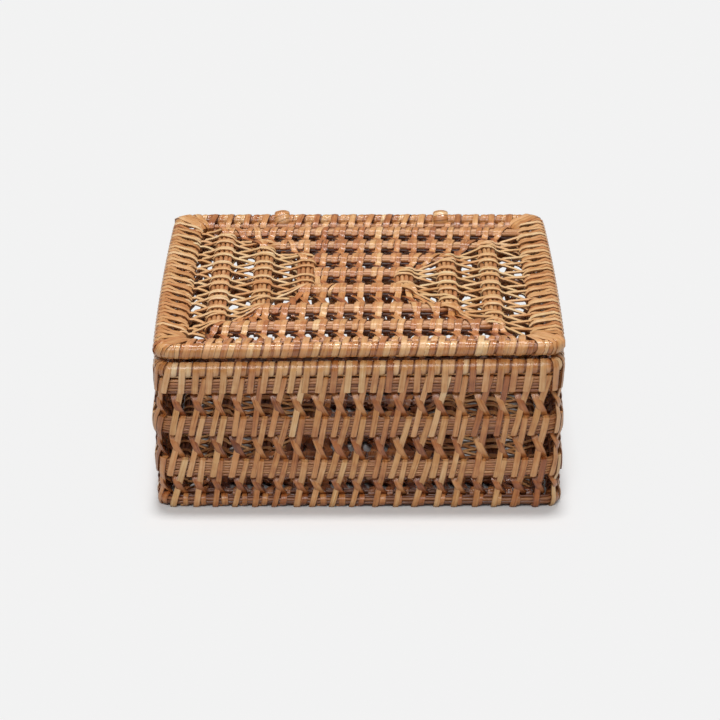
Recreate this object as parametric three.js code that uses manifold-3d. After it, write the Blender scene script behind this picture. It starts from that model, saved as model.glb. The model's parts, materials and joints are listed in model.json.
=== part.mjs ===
// Low square box of open-work cane with a hinged lid, in millimetres.
// X runs to the right, Y to the back and Z up. The origin lies on the ground, under the middle
// of the whole box with its hinge loops.
// The wall is four hoops of rod bundles under a round rim rail, laced to each other with flat cane.
// The lid is a rectangular coil of the same bundle inside a round rail, and the floor is one too.
import * as THREE from 'three';
import Module from 'manifold-3d';
import { mergeVertices } from 'three/addons/utils/BufferGeometryUtils.js';

const wasm = await Module();
wasm.setup();

// Outer size of the woven box, over its lacing strips and up to the top of the lid rail
const boxWidth = 190;
const boxDepth = 190;
const boxHeight = 82;
const hoopCornerRadius = 9;

// Heights of the hoops from the ground up. The gaps between them share the rest of the height, and
// the lowest is a little less high than the other two.
const baseRailHeight = 6.3;
const lowerBandHeight = 8.5;
const middleBandHeight = 9.2;
const upperBandHeight = 6.6;
const slitHeight = 1.8;
const rimRailHeight = 7.6;
const lidClearance = 0.4;
const lidRailHeight = 7.4;
const lowGapLess = 1.8;

// Thickness of the hoops, from outer face to inner face
const baseRailThickness = 6.5;
const bandThickness = 3.8;
const bandChamfer = 1;

// Flat cane strips, and the room that they leave round what they lace
const stripWidth = 2.5;
const stripThickness = 0.9;
const clearance = 0.3;
const stitchPitch = 9.3;
const wallOverlap = 2.8;
const cornerReach = 3;
const postSize = 1.6;

// Lashings that tie a rail to the bundle beside it
const lashingPitch = 6.4;
const lashingSpine = 0.9;
const rimLashingReach = 3.2;
const lidLashingReach = 3.2;
const lidLashingCornerGap = 6;

// Coils of the lid and the floor. The outer turn lies a space inside the border run, the inner turn
// lies a distance from the middle of the box, and the turns between them are spread evenly.
const coilBandWidth = 8;
const coilThickness = 3.6;
const coilCornerRadius = 6;
const coilTurns = 3;
const backSpace = 12;
const leftSpace = 14.5;
const frontSpace = 17;
const rightSpace = 19.5;
const middleBarBack = 6.5;
const innerLeft = 27;
const innerFront = 18;
const innerRight = 22;
const middleBarLength = 34;
const lidBorderWidth = 5.5;
const floorBorderWidth = 5.8;
const floorLift = 1.6;
const coilOverlap = 3;
const borderOverlap = 1.9;
const floorStitchPitch = 14;

// Hinge loops: a strip wound round the lid rail and the rim rail together
const hingeSpacing = 82;
const hingeTurns = 3;
const hingeStripWidth = 2.2;
const hingeTurnGap = 0.45;
const hingeEyeRoom = 0.5;
const hingeWindowRoom = 1.5;
const hingeArcSteps = 8;

// Number of straight steps that round off a quarter turn
const quarterSteps = 3;

// Heights and planes that follow from the sizes above
const bandHeights = lowerBandHeight + middleBandHeight + upperBandHeight;
const railHeights = baseRailHeight + slitHeight + rimRailHeight + lidClearance + lidRailHeight;
const gapHeight = (boxHeight - bandHeights - railHeights + lowGapLess) / 3;
const lowerBandBase = baseRailHeight + gapHeight - lowGapLess;
const middleBandBase = lowerBandBase + lowerBandHeight + gapHeight;
const upperBandBase = middleBandBase + middleBandHeight + gapHeight;
const upperBandTop = upperBandBase + upperBandHeight;
const rimRailBase = upperBandTop + slitHeight;
const lidRailBase = rimRailBase + rimRailHeight + lidClearance;
const rimRailCentre = rimRailBase + rimRailHeight / 2;
const lidRailCentre = lidRailBase + lidRailHeight / 2;
const hoopInset = stripThickness + clearance;
const eyeHalfWidth = rimRailHeight / 2 + hingeEyeRoom;
const hingeHalfDepth = eyeHalfWidth + stripThickness;
const hingeOverhang = hingeHalfDepth - rimRailHeight / 2;
const lidBorderInset = rimRailHeight / 2 + hingeHalfDepth + clearance;
const floorBorderInset = hoopInset + baseRailThickness + clearance;

// Finishes of the rod bundles, of the flat strips and of the wrapped rails
const rodFinish = new THREE.MeshStandardMaterial({ color: 0xa9784c, roughness: 0.6, metalness: 0 });
const stripFinish = new THREE.MeshStandardMaterial({ color: 0xc99a68, roughness: 0.5, metalness: 0 });
const railFinish = new THREE.MeshStandardMaterial({ color: 0xd0a271, roughness: 0.5, metalness: 0 });

const group = new THREE.Group();
group.position.y = -hingeOverhang / 2;
const box = new THREE.Group();
const lid = new THREE.Group();
group.add(box, lid);

function addPiece(parent, name, geometry, material) {
  const piece = new THREE.Mesh(geometry, material);
  piece.name = name;
  parent.add(piece);
  return piece;
}

function solidFrom(geometry) {
  const bare = geometry.clone();
  bare.deleteAttribute('normal');
  bare.deleteAttribute('uv');
  const merged = mergeVertices(bare);
  const vertProperties = new Float32Array(merged.attributes.position.array);
  const triVerts = new Uint32Array(merged.index.array);
  return new wasm.Manifold(new wasm.Mesh({ numProp: 3, vertProperties, triVerts }));
}

function geometryFrom(solid) {
  const { vertProperties, triVerts } = solid.getMesh();
  const geometry = new THREE.BufferGeometry();
  geometry.setAttribute('position', new THREE.BufferAttribute(vertProperties, 3));
  geometry.setIndex(new THREE.BufferAttribute(triVerts, 1));
  const facets = geometry.toNonIndexed();
  facets.computeVertexNormals();
  return facets;
}

// Corner points of a rectangle with rounded corners
function roundedRectangle(halfWidth, halfDepth, radius) {
  const points = [];
  for (let corner = 0; corner < 4; corner += 1) {
    const signX = corner === 0 || corner === 3 ? 1 : -1;
    const signY = corner < 2 ? 1 : -1;
    for (let step = 0; step <= quarterSteps; step += 1) {
      const angle = (corner + step / quarterSteps) * Math.PI / 2;
      const x = signX * (halfWidth - radius) + radius * Math.cos(angle);
      const y = signY * (halfDepth - radius) + radius * Math.sin(angle);
      points.push(new THREE.Vector2(x, y));
    }
  }
  return points;
}

// A hoop round the box, with flat faces and chamfered edges
function addHoop(parent, name, { inset, thickness, height, base, chamfer }, material) {
  const halfWidth = boxWidth / 2 - inset;
  const halfDepth = boxDepth / 2 - inset;
  const innerRadius = Math.max(hoopCornerRadius - thickness, chamfer + clearance);
  const shape = new THREE.Shape(roundedRectangle(halfWidth, halfDepth, hoopCornerRadius));
  const inner = roundedRectangle(halfWidth - thickness, halfDepth - thickness, innerRadius);
  shape.holes.push(new THREE.Path(inner));
  const geometry = new THREE.ExtrudeGeometry(shape, {
    depth: height - 2 * chamfer,
    bevelEnabled: true,
    bevelThickness: chamfer,
    bevelSize: chamfer,
    bevelOffset: -chamfer,
    bevelSegments: 1,
  });
  addPiece(parent, name, geometry.translate(0, 0, chamfer), material).position.z = base;
}

// Chamfer that turns a square section into a regular octagon
const octagonChamfer = (size) => size * (1 - Math.SQRT1_2);

addHoop(box, 'base_rail', {
  inset: hoopInset,
  thickness: baseRailThickness,
  height: baseRailHeight,
  base: 0,
  chamfer: octagonChamfer(baseRailHeight),
}, rodFinish);

const bands = [
  { name: 'lower_band', base: lowerBandBase, height: lowerBandHeight },
  { name: 'middle_band', base: middleBandBase, height: middleBandHeight },
  { name: 'upper_band', base: upperBandBase, height: upperBandHeight },
];
for (const { name, base, height } of bands) {
  const size = { inset: hoopInset, thickness: bandThickness, height, base, chamfer: bandChamfer };
  addHoop(box, name, size, rodFinish);
}

addHoop(box, 'rim_rail', {
  inset: 0,
  thickness: rimRailHeight,
  height: rimRailHeight,
  base: rimRailBase,
  chamfer: octagonChamfer(rimRailHeight),
}, railFinish);

addHoop(lid, 'lid_rail', {
  inset: 0,
  thickness: lidRailHeight,
  height: lidRailHeight,
  base: lidRailBase,
  chamfer: octagonChamfer(lidRailHeight),
}, railFinish);

// Flat strip of cane along straight legs, mitred at each turn
function stripGeometry(points) {
  const last = points.length - 1;
  const left = [];
  const right = [];
  points.forEach((point, i) => {
    const arriving = point.clone().sub(points[Math.max(i - 1, 0)]).normalize();
    const leaving = points[Math.min(i + 1, last)].clone().sub(point).normalize();
    const before = i === 0 ? leaving : arriving;
    const after = i === last ? arriving : leaving;
    const side = new THREE.Vector2(-before.y, before.x);
    const mitre = new THREE.Vector2(-after.y, after.x).add(side).normalize();
    mitre.multiplyScalar(stripWidth / 2 / mitre.dot(side));
    left.push(point.clone().add(mitre));
    right.push(point.clone().sub(mitre));
  });
  const shape = new THREE.Shape([...right, ...left.reverse()]);
  return new THREE.ExtrudeGeometry(shape, { depth: stripThickness, bevelEnabled: false });
}

// How far the point of a mitred turn stands past the middle of its strip
const tipLength = (run, rise) => stripWidth / 2 * Math.hypot(run, rise) / run;

// Pairs of points that face each other on the two edges of a gap, spread evenly along it
function facingPoints([nearStart, nearEnd], [farStart, farEnd], count) {
  return Array.from({ length: count }, (unused, i) => {
    const share = (i + 0.5) / count;
    return [nearStart.clone().lerp(nearEnd, share), farStart.clone().lerp(farEnd, share)];
  });
}

// Point where the line from a to b crosses the line from c to d
function crossing(a, b, c, d) {
  const first = b.clone().sub(a);
  const second = d.clone().sub(c);
  return a.clone().addScaledVector(first, c.clone().sub(a).cross(second) / first.cross(second));
}

// Crossed lacing: a zigzag strip over the bundles and one behind them, met by posts in the gap
function crossedLacing(pairs, separation, behindPairs = pairs) {
  const over = stripGeometry(pairs.map((pair, i) => pair[i % 2]));
  const behind = stripGeometry(behindPairs.map((pair, i) => pair[1 - i % 2]));
  behind.translate(0, 0, -separation - stripThickness);
  let solid = solidFrom(over).add(solidFrom(behind));
  for (const i of [0, pairs.length - 2]) {
    const leg = [pairs[i][i % 2], pairs[i + 1][1 - i % 2]];
    const legBehind = [behindPairs[i][1 - i % 2], behindPairs[i + 1][i % 2]];
    const middle = crossing(...leg, ...legBehind);
    const post = new THREE.BoxGeometry(postSize, postSize, separation + stripThickness);
    post.translate(middle.x, middle.y, -separation / 2);
    solid = solid.add(solidFrom(post));
  }
  return geometryFrom(solid);
}

// The four walls, each turned to its own side of the box
const walls = [
  { side: 'front', turn: 0, reach: boxDepth / 2, length: boxWidth },
  { side: 'right', turn: 1, reach: boxWidth / 2, length: boxDepth },
  { side: 'back', turn: 2, reach: boxDepth / 2, length: boxWidth },
  { side: 'left', turn: 3, reach: boxWidth / 2, length: boxDepth },
];

// Gaps between the hoops. The base rail is too thick to be laced behind, so the strip stays over it.
const gaps = [
  { name: 'low', bottom: baseRailHeight, top: lowerBandBase, overlapBehind: -clearance },
  {
    name: 'middle',
    bottom: lowerBandBase + lowerBandHeight,
    top: middleBandBase,
    overlapBehind: wallOverlap,
  },
  {
    name: 'high',
    bottom: middleBandBase + middleBandHeight,
    top: upperBandBase,
    overlapBehind: wallOverlap,
  },
];

function sideFrame(parent, wall) {
  const frame = new THREE.Group();
  frame.rotation.z = wall.turn * Math.PI / 2;
  parent.add(frame);
  return frame;
}

// Upright lacing of one gap, whose outer strips lie flush with the outside of the box
function wallLacing(wall, gap) {
  const half = wall.length / 2 - hoopInset - hoopCornerRadius + cornerReach;
  const count = Math.round(2 * half / stitchPitch);
  const tip = tipLength(2 * half / count, gap.top - gap.bottom + 2 * wallOverlap);
  const line = (level) => [new THREE.Vector2(-half, level), new THREE.Vector2(half, level)];
  const topLine = line(gap.top + wallOverlap - tip);
  const over = facingPoints(line(gap.bottom - wallOverlap + tip), topLine, count);
  const behind = facingPoints(line(gap.bottom - gap.overlapBehind + tip), topLine, count);
  return crossedLacing(over, bandThickness + 2 * clearance, behind);
}

for (const wall of walls) {
  const frame = sideFrame(box, wall);
  for (const gap of gaps) {
    const name = `lacing_${wall.side}_${gap.name}`;
    const piece = addPiece(frame, name, wallLacing(wall, gap), stripFinish);
    piece.rotation.x = Math.PI / 2;
    piece.position.y = stripThickness - wall.reach;
  }
}

// Half the width that a hinge loop takes along the rails
const hingePitch = hingeStripWidth + hingeTurnGap;
const hingeHalfWidth = (hingeTurns * hingePitch + hingeStripWidth) / 2;

// True where a strip at this place along the back would run into a hinge loop
function meetsHinge(wall, along) {
  const room = hingeHalfWidth + hingeWindowRoom + stripWidth / 2;
  return wall.side === 'back' && Math.abs(Math.abs(along) - hingeSpacing / 2) < room;
}

// Lashing: short parallel strips that rise from one long strip, with none at the hinge loops
function lashingGeometry(wall, half, height) {
  const count = Math.floor(2 * (half - stripWidth) / lashingPitch);
  const outline = [new THREE.Vector2(-half, 0), new THREE.Vector2(half, 0)];
  outline.push(new THREE.Vector2(half, lashingSpine));
  for (let i = count; i >= 0; i -= 1) {
    const along = (i - count / 2) * lashingPitch;
    if (!meetsHinge(wall, along)) {
      outline.push(new THREE.Vector2(along + stripWidth / 2, lashingSpine));
      outline.push(new THREE.Vector2(along + stripWidth / 2, height));
      outline.push(new THREE.Vector2(along - stripWidth / 2, height));
      outline.push(new THREE.Vector2(along - stripWidth / 2, lashingSpine));
    }
  }
  outline.push(new THREE.Vector2(-half, lashingSpine));
  const shape = new THREE.Shape(outline);
  return new THREE.ExtrudeGeometry(shape, { depth: stripThickness, bevelEnabled: false });
}

// Lashing of the rim rail, from its underside down over the upper band
const rimLashingBase = upperBandTop - rimLashingReach;
const underRail = octagonChamfer(rimRailHeight) - stripThickness - clearance * Math.SQRT2;
const rimLashingHeight = rimRailBase + underRail - rimLashingBase;
for (const wall of walls) {
  const half = wall.length / 2 - hoopInset - hoopCornerRadius;
  const geometry = lashingGeometry(wall, half, rimLashingHeight);
  const piece = addPiece(sideFrame(box, wall), `rim_lashing_${wall.side}`, geometry, stripFinish);
  piece.rotation.x = Math.PI / 2;
  piece.position.set(0, stripThickness - wall.reach, rimLashingBase);
}

// Straight runs of a rectangular coil, from the free end of its middle bar out to its border
function coilRuns(borderInset, borderWidth) {
  const halfWidth = boxWidth / 2 - borderInset - borderWidth / 2;
  const halfDepth = boxDepth / 2 - borderInset - borderWidth / 2;
  const spread = (outer, inner, turn, steps) => outer + (inner - outer) * turn / steps;
  const back = (turn) => spread(halfDepth - backSpace, middleBarBack, turn, coilTurns);
  const left = (turn) => -spread(halfWidth - leftSpace, innerLeft, turn, coilTurns - 1);
  const front = (turn) => -spread(halfDepth - frontSpace, innerFront, turn, coilTurns - 1);
  const right = (turn) => spread(halfWidth - rightSpace, innerRight, turn, coilTurns - 1);
  const corners = [[right(coilTurns - 1) - middleBarLength, back(coilTurns)]];
  for (let turn = coilTurns - 1; turn >= 0; turn -= 1) {
    corners.push([right(turn), back(turn + 1)], [right(turn), front(turn)]);
    corners.push([left(turn), front(turn)], [left(turn), back(turn)]);
  }
  corners.push([halfWidth, back(0)], [halfWidth, -halfDepth]);
  corners.push([-halfWidth, -halfDepth], [-halfWidth, halfDepth], [halfWidth, halfDepth]);
  const points = corners.map(([x, y]) => new THREE.Vector2(x, y));
  return points.slice(1).map((end, i) => {
    const along = end.clone().sub(points[i]).normalize();
    const outward = new THREE.Vector2(-along.y, along.x);
    const width = i < 4 * coilTurns + 1 ? coilBandWidth : borderWidth;
    return { start: points[i], end, along, outward, width };
  });
}

// One edge of the coil's bundle, on its outward side or on the other, rounded at the corners
function coilEdge(runs, side) {
  const first = runs[0];
  const last = runs[runs.length - 1];
  const points = [first.start.clone().addScaledVector(first.outward, side * first.width / 2)];
  for (let i = 1; i < runs.length; i += 1) {
    const [arriving, leaving] = [runs[i - 1], runs[i]];
    const centre = leaving.start.clone().addScaledVector(arriving.along, -coilCornerRadius);
    centre.addScaledVector(leaving.along, coilCornerRadius);
    const radius = coilCornerRadius + side * leaving.width / 2;
    for (let step = 0; step <= quarterSteps; step += 1) {
      const angle = step / quarterSteps * Math.PI / 2;
      const point = centre.clone().addScaledVector(leaving.along, -radius * Math.cos(angle));
      points.push(point.addScaledVector(arriving.along, radius * Math.sin(angle)));
    }
  }
  points.push(last.end.clone().addScaledVector(last.outward, side * last.width / 2));
  return points;
}

function coilGeometry(runs) {
  const shape = new THREE.Shape([...coilEdge(runs, -1), ...coilEdge(runs, 1).reverse()]);
  return new THREE.ExtrudeGeometry(shape, { depth: coilThickness, bevelEnabled: false });
}

// A line along one run, as far outside its middle as the lacing reaches over its edge
function lacedLine(run, side, overlap, tip) {
  const offset = side * (run.width / 2 - overlap + tip);
  return [run.start, run.end].map((p) => p.clone().addScaledVector(run.outward, offset));
}

// Lacing between the coil's runs first to last and the turn outside them
function coilLacing(runs, first, last, pitch) {
  const pairs = [];
  for (let i = first; i <= last; i += 1) {
    const [near, far] = [runs[i], runs[i + 4]];
    const length = (near.start.distanceTo(near.end) + far.start.distanceTo(far.end)) / 2;
    const count = Math.round(length / pitch);
    const rise = Math.abs(far.start.clone().sub(near.start).dot(near.outward));
    const tip = tipLength(length / count, rise);
    const farOverlap = far.width === coilBandWidth ? coilOverlap : borderOverlap;
    const nearLine = lacedLine(near, 1, coilOverlap, tip);
    const farLine = lacedLine(far, -1, farOverlap, tip);
    pairs.push(...facingPoints(nearLine, farLine, count));
  }
  return crossedLacing(pairs, coilThickness + 2 * clearance);
}

// Lacing across the opening between the middle bar and the run in front of it
function middleLacing(runs, pitch) {
  const [bar, opposite] = [runs[0], runs[2]];
  const count = Math.round(middleBarLength / pitch);
  const rise = bar.start.y - opposite.start.y;
  const tip = tipLength(middleBarLength / count, rise);
  const barLine = lacedLine(bar, -1, coilOverlap, tip);
  const frontLine = barLine.map((point) => new THREE.Vector2(point.x, opposite.start.y));
  for (const point of frontLine) {
    point.addScaledVector(opposite.outward, -(opposite.width / 2 - coilOverlap + tip));
  }
  return crossedLacing(facingPoints(barLine, frontLine, count), coilThickness + 2 * clearance);
}

// A whole coiled panel: its bundle, and its lacing turn by turn
function addCoil(parent, name, runs, pitch, base) {
  addPiece(parent, `${name}_coil`, coilGeometry(runs), rodFinish).position.z = base;
  const rings = ['inner', 'middle', 'outer'];
  const lacings = rings.map((ring, turn) => {
    const last = 4 * turn + (turn === coilTurns - 1 ? 4 : 3);
    return [ring, coilLacing(runs, 4 * turn, last, pitch)];
  });
  lacings.push(['centre', middleLacing(runs, pitch)]);
  for (const [ring, geometry] of lacings) {
    const piece = addPiece(parent, `${name}_lacing_${ring}`, geometry, stripFinish);
    piece.position.z = base + coilThickness + clearance;
  }
}

const lidCoilBase = lidRailCentre - coilThickness / 2;
addCoil(lid, 'lid', coilRuns(lidBorderInset, lidBorderWidth), stitchPitch, lidCoilBase);
addCoil(box, 'floor', coilRuns(floorBorderInset, floorBorderWidth), floorStitchPitch, floorLift);

// Lashing of the lid rail, from its inner side over the border of the coil
for (const wall of walls) {
  const half = wall.length / 2 - lidBorderInset - lidLashingCornerGap;
  const depth = lidBorderInset - lidRailHeight + lidLashingReach;
  const geometry = lashingGeometry(wall, half, depth);
  const piece = addPiece(sideFrame(lid, wall), `lid_lashing_${wall.side}`, geometry, stripFinish);
  piece.rotation.z = Math.PI;
  piece.position.y = lidBorderInset + lidLashingReach - wall.reach;
  piece.position.z = lidCoilBase + coilThickness + clearance;
}

// Outline of a hinge loop's inner face, in the plane across the rails: depth and height by angle
function hingeOutline() {
  const radius = eyeHalfWidth / Math.cos(Math.PI / hingeArcSteps / 2);
  const outline = [];
  for (const [centre, from] of [[lidRailCentre, 0], [rimRailCentre, Math.PI]]) {
    for (let step = 0; step < hingeArcSteps; step += 1) {
      const angle = from + (step + 0.5) / hingeArcSteps * Math.PI;
      const away = new THREE.Vector2(Math.cos(angle), Math.sin(angle));
      outline.push({ away, point: away.clone().multiplyScalar(radius).setY(centre + radius * away.y) });
    }
  }
  return outline;
}

// Four corners of the loop's strip at each step, winding along X as it goes round
function hingeSections() {
  const outline = hingeOutline();
  const grow = stripThickness / Math.cos(Math.PI / hingeArcSteps / 2);
  const firstStep = Math.round(hingeArcSteps / 2) + 1;
  const steps = hingeTurns * outline.length;
  return Array.from({ length: steps + 1 }, (unused, i) => {
    const { away, point } = outline[(firstStep + i) % outline.length];
    const x = (i / outline.length - hingeTurns / 2) * hingePitch;
    const outer = point.clone().addScaledVector(away, grow);
    const half = hingeStripWidth / 2;
    return [
      new THREE.Vector3(x - half, point.x, point.y),
      new THREE.Vector3(x + half, point.x, point.y),
      new THREE.Vector3(x + half, outer.x, outer.y),
      new THREE.Vector3(x - half, outer.x, outer.y),
    ];
  });
}

function hingeGeometry(sections) {
  const last = sections.length - 1;
  const triangles = [[0, 2, 1], [0, 3, 2], [4 * last, 4 * last + 1, 4 * last + 2]];
  triangles.push([4 * last, 4 * last + 2, 4 * last + 3]);
  for (let i = 0; i < last; i += 1) {
    for (let side = 0; side < 4; side += 1) {
      const next = (side + 1) % 4;
      const [a, b] = [4 * i + side, 4 * i + next];
      triangles.push([a, b + 4, a + 4], [a, b, b + 4]);
    }
  }
  const geometry = new THREE.BufferGeometry().setFromPoints(sections.flat());
  geometry.setIndex(triangles.flat());
  return geometry;
}

// Least distance between points of the loop that lie half a turn or more apart along it
function leastSelfGap(sections) {
  const halfTurn = hingeArcSteps;
  let least = Infinity;
  for (let i = 0; i < sections.length; i += 1) {
    for (let j = i + halfTurn; j < sections.length; j += 1) {
      for (const a of sections[i]) {
        for (const b of sections[j]) {
          least = Math.min(least, a.distanceTo(b));
        }
      }
    }
  }
  return least;
}

const loopSections = hingeSections();
console.log(`Least gap of a hinge loop to itself: ${leastSelfGap(loopSections).toFixed(2)} mm`);
for (const [side, sign] of [['left', -1], ['right', 1]]) {
  const loop = addPiece(box, `hinge_loop_${side}`, hingeGeometry(loopSections), railFinish);
  loop.position.x = sign * hingeSpacing / 2;
  loop.position.y = boxDepth / 2 - rimRailHeight / 2;
}

export default group;
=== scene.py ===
import json
import math
import random
import bpy
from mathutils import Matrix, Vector

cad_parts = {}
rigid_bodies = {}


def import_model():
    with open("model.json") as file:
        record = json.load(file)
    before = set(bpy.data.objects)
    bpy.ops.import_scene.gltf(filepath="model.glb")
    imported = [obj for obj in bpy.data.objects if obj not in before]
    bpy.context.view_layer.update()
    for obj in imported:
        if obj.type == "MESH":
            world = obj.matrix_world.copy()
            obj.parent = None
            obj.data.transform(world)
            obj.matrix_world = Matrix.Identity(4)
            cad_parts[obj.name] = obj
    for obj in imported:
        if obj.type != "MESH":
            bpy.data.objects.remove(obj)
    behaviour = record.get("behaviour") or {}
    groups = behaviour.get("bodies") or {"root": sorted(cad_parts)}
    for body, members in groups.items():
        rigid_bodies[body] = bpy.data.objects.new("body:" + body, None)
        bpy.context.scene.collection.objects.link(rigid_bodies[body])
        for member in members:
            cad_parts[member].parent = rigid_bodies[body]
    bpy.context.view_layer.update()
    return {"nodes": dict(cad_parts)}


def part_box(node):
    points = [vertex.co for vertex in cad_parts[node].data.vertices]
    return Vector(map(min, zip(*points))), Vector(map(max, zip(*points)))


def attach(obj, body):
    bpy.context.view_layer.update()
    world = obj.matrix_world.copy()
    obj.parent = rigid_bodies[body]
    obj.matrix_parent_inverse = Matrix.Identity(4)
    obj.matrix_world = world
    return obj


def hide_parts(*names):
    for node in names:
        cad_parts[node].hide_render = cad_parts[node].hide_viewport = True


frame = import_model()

# Base rail: a round bundle of rattan core rods that the whole box stands on. The rods are soaked,
# bent round the four corners together, and bound with short turns of flat cane between the
# stitches of the wall.
mm = 0.001
luck = random.Random(11)
any_phase, any_seed = (0, 6.3), (0, 90)
middle_y = (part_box("rim_rail")[0].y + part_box("rim_rail")[1].y) / 2 / mm
grain_half = 1.25


def pick(piece):
    bpy.ops.object.select_all(action="DESELECT")
    piece.select_set(True)
    bpy.context.view_layer.objects.active = piece


def shade(red, green, blue):
    """A colour as seen on the object, in the linear values that a shader takes"""
    return (*[((n / 255 + 0.055) / 1.055) ** 2.4 for n in (red, green, blue)], 1)


def add_node(tree, kind, inputs, **settings):
    """A new node of a material, with its settings, and its inputs linked or set"""
    node = tree.nodes.new(kind)
    for key, value in settings.items():
        setattr(node, key, value)
    for socket, given in inputs.items():
        if isinstance(given, bpy.types.NodeSocket):
            tree.links.new(given, node.inputs[socket])
        else:
            node.inputs[socket].default_value = given
    return node


def value_of(tree, operation, *given):
    """Result of a maths node on sockets or plain numbers"""
    return add_node(tree, "ShaderNodeMath", dict(enumerate(given)), operation=operation).outputs[0]


def cane_finish(name, shades, roughness, edge_shade, fibre_depth):
    """Rattan: a shade for each strip or rod, streaks and fibres along it, and edges darkened as painted
    shade where strips meet
    """
    finish = bpy.data.materials.new(name)
    finish.use_nodes = True
    tree = finish.node_tree
    shader = tree.nodes["Principled BSDF"]
    fibre = add_node(tree, "ShaderNodeAttribute", {}, attribute_name="fibre").outputs["Vector"]
    tone = add_node(tree, "ShaderNodeAttribute", {}, attribute_name="tone").outputs["Fac"]

    def grain(stretch, detail):
        scaled = add_node(tree, "ShaderNodeVectorMath", {0: fibre, 1: stretch}, operation="MULTIPLY")
        sockets = {"Vector": scaled.outputs[0], "Scale": 1, "Detail": detail}
        return add_node(tree, "ShaderNodeTexNoise", sockets).outputs["Fac"]

    def ramp_of(level, stops):
        ramp = add_node(tree, "ShaderNodeValToRGB", {"Fac": level})
        elements = ramp.color_ramp.elements
        elements.remove(elements[1])
        for spot, colour in stops:
            elements.new(spot).color = colour
        elements.remove(elements[0])
        return ramp.outputs["Color"]

    def multiplied(factor, colour, tint):
        sockets = {"Factor": factor, 6: colour, 7: tint}
        mixed = add_node(tree, "ShaderNodeMix", sockets, data_type="RGBA", blend_type="MULTIPLY")
        return mixed.outputs[2]

    streaks = grain(stretch=(70, 1500, 1), detail=3)
    fibres = grain(stretch=(160, 5200, 3), detail=2)
    patches = grain(stretch=(210, 160, 7), detail=2)
    hues = grain(stretch=(3, 3, 2.3), detail=0)
    streak_share, fibre_share, patch_share = 0.56, 0.26, 0.4
    level = value_of(tree, "MULTIPLY_ADD", streaks, streak_share, tone)
    level = value_of(tree, "MULTIPLY_ADD", fibres, fibre_share, level)
    level = value_of(tree, "MULTIPLY_ADD", patches, patch_share, level)
    level = value_of(tree, "SUBTRACT", level, (streak_share + fibre_share + patch_share) / 2)
    natural = ramp_of(level, [(spot, shade(*colour)) for spot, colour in shades])
    hue = ramp_of(hues, [(0.38, (1, 0.87, 0.78, 1)), (0.62, (1, 0.97, 0.87, 1))])
    # Each strip is darkened towards both its edges: painted shade for the dark lines where neighbouring
    # strips meet.
    edge_power, edge_limit, edge_shade_brown = 9, 0.8, shade(120, 82, 55)
    across = add_node(tree, "ShaderNodeSeparateXYZ", {0: fibre}).outputs["Y"]
    edge = value_of(tree, "MULTIPLY", value_of(tree, "ABSOLUTE", across), 1 / (grain_half * mm))
    edge = value_of(tree, "MULTIPLY", value_of(tree, "POWER", edge, edge_power), edge_shade)
    edge = value_of(tree, "MINIMUM", edge, edge_limit)
    colour = multiplied(edge, multiplied(1, natural, hue), edge_shade_brown)
    tree.links.new(colour, shader.inputs["Base Color"])
    rough_range = 0.3
    rough = value_of(tree, "MULTIPLY_ADD", streaks, rough_range, roughness - rough_range / 2)
    tree.links.new(rough, shader.inputs["Roughness"])
    shader.inputs["Specular IOR Level"].default_value = 0.75
    relief = value_of(tree, "MULTIPLY_ADD", streaks, 1.5, fibres)
    sockets = {"Strength": 0.55, "Distance": fibre_depth * mm, "Height": relief}
    bump = add_node(tree, "ShaderNodeBump", sockets)
    tree.links.new(bump.outputs["Normal"], shader.inputs["Normal"])
    return finish


rod_shades = [
    (0.0, (82, 40, 19)), (0.3, (144, 88, 50)), (0.55, (187, 128, 80)), (0.8, (214, 162, 111)),
    (1.0, (232, 194, 152)),
]
rod_finish = cane_finish("rattan_core_rods", rod_shades, roughness=0.45, edge_shade=0, fibre_depth=0.16)


def mark_grain(part, fibre, tone):
    """Notes on a part where each point lies along and across its grain, and the part's shade"""
    grain = part.data.attributes.new("fibre", "FLOAT_VECTOR", "POINT")
    grain.data.foreach_set("vector", [n for spot in fibre for n in spot])
    shades = part.data.attributes.new("tone", "FLOAT", "POINT")
    shades.data.foreach_set("value", [tone] * len(part.data.vertices))


def square_line(half, radius, height, wander=0.0, steps=8):
    """Points round a square with rounded corners, from the middle of the back to the left"""
    corner_steps, waves_round = 6, (3, 17)
    reach = half - radius
    quarter = [(-reach * step / steps, half) for step in range(steps)]
    for step in range(corner_steps + 1):
        angle = math.pi / 2 * (1 + step / corner_steps)
        quarter.append((-reach + radius * math.cos(angle), reach + radius * math.sin(angle)))
    quarter += [(-half, reach * (1 - step / steps)) for step in range(1, steps)]
    waves = [(luck.randint(*waves_round), luck.uniform(*any_phase), luck.uniform(*any_phase))
             for _ in range(4)]
    line = []
    for turn in range(4):
        for place, (x, y) in enumerate(quarter):
            share = (turn + place / len(quarter)) / 4 * math.tau
            out = sum(math.sin(n * share + a) for n, a, b in waves) / 2 * wander
            rise = sum(math.sin(n * share + b) for n, a, b in waves) / 2 * wander
            away = Vector((x, y, 0)).normalized() * out
            line.append(Vector((x + away.x, middle_y + y + away.y, height + rise)) * mm)
        quarter = [(-y, x) for x, y in quarter]
    return line


def add_curve(name, line, closed):
    """A curve that runs straight from each place of a line to the next"""
    curve = bpy.data.curves.new(name, "CURVE")
    curve.dimensions = "3D"
    spline = curve.splines.new("POLY")
    spline.points.add(len(line) - 1)
    spline.use_cyclic_u = closed
    for place, point in zip(line, spline.points):
        point.co = (*place, 1)
    drawn = bpy.data.objects.new(name, curve)
    bpy.context.collection.objects.link(drawn)
    return drawn


def lengths_along(path):
    """Length of a path from its start to each of its places"""
    lengths = [0.0]
    for before, after in zip(path, path[1:]):
        lengths.append(lengths[-1] + (after - before).length)
    return lengths


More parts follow.
